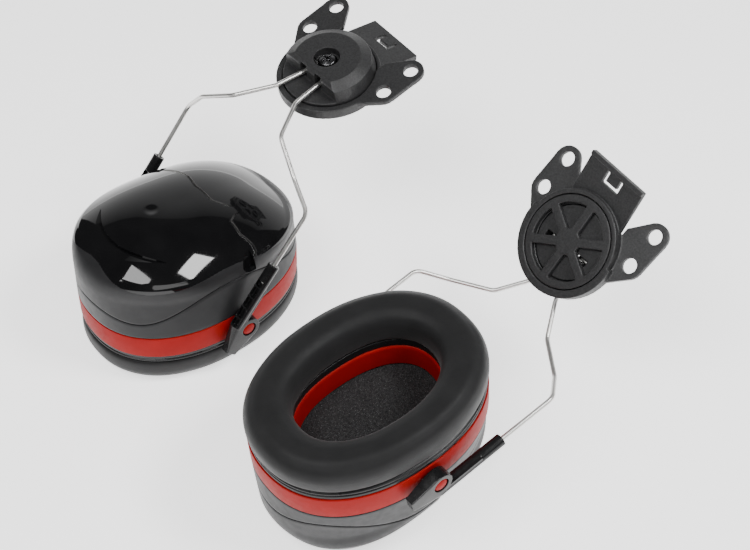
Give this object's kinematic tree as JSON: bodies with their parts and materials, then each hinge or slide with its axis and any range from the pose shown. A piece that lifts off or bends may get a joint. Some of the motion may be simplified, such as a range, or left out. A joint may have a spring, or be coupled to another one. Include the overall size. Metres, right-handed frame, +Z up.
{
  "type": "earmuff hearing protector",
  "caption": "Pair of helmet-mounted ear cups with soft cushions, each on a sliding two-wire arm that ends in a swivelling slotted helmet adapter.",
  "frame": {"origin": "centre of the pair's footprint, on the surface that both units lie on", "axes": "+Z up, +Y from the cups towards their helmet adapters, +X from the left unit to the right one"},
  "size_m": [0.2132, 0.1818, 0.1071],
  "materials": {
    "gloss_shell": "polished, mirror gloss",
    "satin_shell": "satin moulded",
    "red_plastic": "satin moulded",
    "rim": "semi-gloss moulded",
    "cushion_skin": "soft matte vinyl skin",
    "cushion_foam": "closed-cell foam",
    "liner_foam": "open-cell foam",
    "stem": "semi-gloss moulded",
    "spring_steel": "bright stainless",
    "nylon": "fine grained moulded",
    "screw_steel": "blackened"
  },
  "bodies": {
    "cups": {"left_outer_cap": "gloss_shell", "left_cup_shell": "satin_shell", "left_red_ring": "red_plastic", "left_cushion_plate": "rim", "left_cushion_cover": "cushion_skin", "left_cushion_foam": "cushion_foam", "left_liner": "liner_foam", "right_outer_cap": "gloss_shell", "right_cup_shell": "satin_shell", "right_red_ring": "red_plastic", "right_cushion_plate": "rim", "right_cushion_cover": "cushion_skin", "right_cushion_foam": "cushion_foam", "right_liner": "liner_foam"},
    "left_stems": {"left_front_stem": "stem", "left_rear_stem": "stem"},
    "left_wires": {"left_front_wire": "spring_steel", "left_rear_wire": "spring_steel"},
    "left_rotor": {"left_rotor_cap": "nylon", "left_rotor_retainer": "nylon", "left_rotor_screw": "screw_steel"},
    "left_adapter": {"left_adapter_plate": "nylon"},
    "right_stems": {"right_front_stem": "stem", "right_rear_stem": "stem"},
    "right_wires": {"right_front_wire": "spring_steel", "right_rear_wire": "spring_steel"},
    "right_rotor": {"right_rotor_cap": "nylon", "right_rotor_retainer": "nylon", "right_rotor_screw": "screw_steel"},
    "right_adapter": {"right_adapter_plate": "nylon"}
  },
  "joints": [
    {"name": "left_tilt", "type": "hinge", "parent": "cups", "child": "left_stems", "pos_m": [-0.06164, -0.03992, 0.0244], "axis": [1, 0, 0], "range_deg": [-73, 12]},
    {"name": "left_height", "type": "slide", "parent": "left_stems", "child": "left_wires", "axis": [0, 0.6691, 0.7431], "range_m": [-0.021, 0]},
    {"name": "left_swing", "type": "hinge", "parent": "left_wires", "child": "left_rotor", "pos_m": [-0.06164, 0.03635, 0.09812], "axis": [1, 0, 0], "range_deg": [-3, 24]},
    {"name": "left_swivel", "type": "hinge", "parent": "left_rotor", "child": "left_adapter", "pos_m": [-0.06164, 0.03997, 0.09444], "axis": [0, -0.1564, 0.9877], "range_deg": [-20, 20]},
    {"name": "right_tilt", "type": "hinge", "parent": "cups", "child": "right_stems", "pos_m": [0.06082, -0.03773, 0.0446], "axis": [-0.9997, 0.0262, 0], "range_deg": [-17, 68]},
    {"name": "right_height", "type": "slide", "parent": "right_stems", "child": "right_wires", "axis": [0.0255, 0.974, 0.225], "range_m": [-0.021, 0]},
    {"name": "right_swing", "type": "hinge", "parent": "right_wires", "child": "right_rotor", "pos_m": [0.06356, 0.06679, 0.0696], "axis": [-0.9997, 0.0262, 0], "range_deg": [-3, 24]},
    {"name": "right_swivel", "type": "hinge", "parent": "right_rotor", "child": "right_adapter", "pos_m": [0.06353, 0.06572, 0.07465], "axis": [0.0193, 0.737, -0.6756], "range_deg": [-20, 20]}
  ]
}
